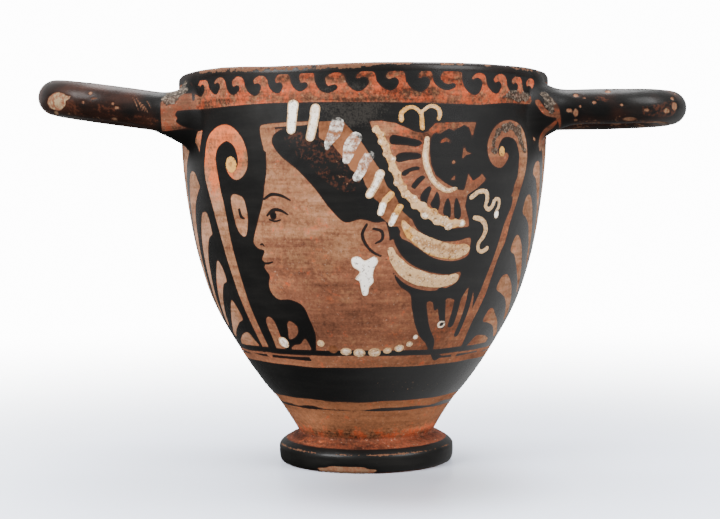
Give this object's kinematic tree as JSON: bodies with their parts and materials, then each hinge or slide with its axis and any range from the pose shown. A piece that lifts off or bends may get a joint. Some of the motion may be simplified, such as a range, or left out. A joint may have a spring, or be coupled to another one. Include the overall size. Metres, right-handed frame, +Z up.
{
  "type": "red-figure skyphos",
  "caption": "Deep two-handled drinking cup of black-gloss painted clay: tall turned wall, loop handles under the rim, small disc foot.",
  "frame": {"origin": "middle of the foot's resting plane, on the cup's turned axis", "axes": "+Z up along the cup's axis; the two handles lie along X, the level one at +X and the rising one at -X; the painted front faces -Y"},
  "size_m": [0.2006, 0.115, 0.12],
  "materials": {
    "painted_clay": "black gloss slip over orange fired clay, with added white and yellow, worn"
  },
  "bodies": {
    "root": {"skyphos": "painted_clay"}
  },
  "joints": []
}
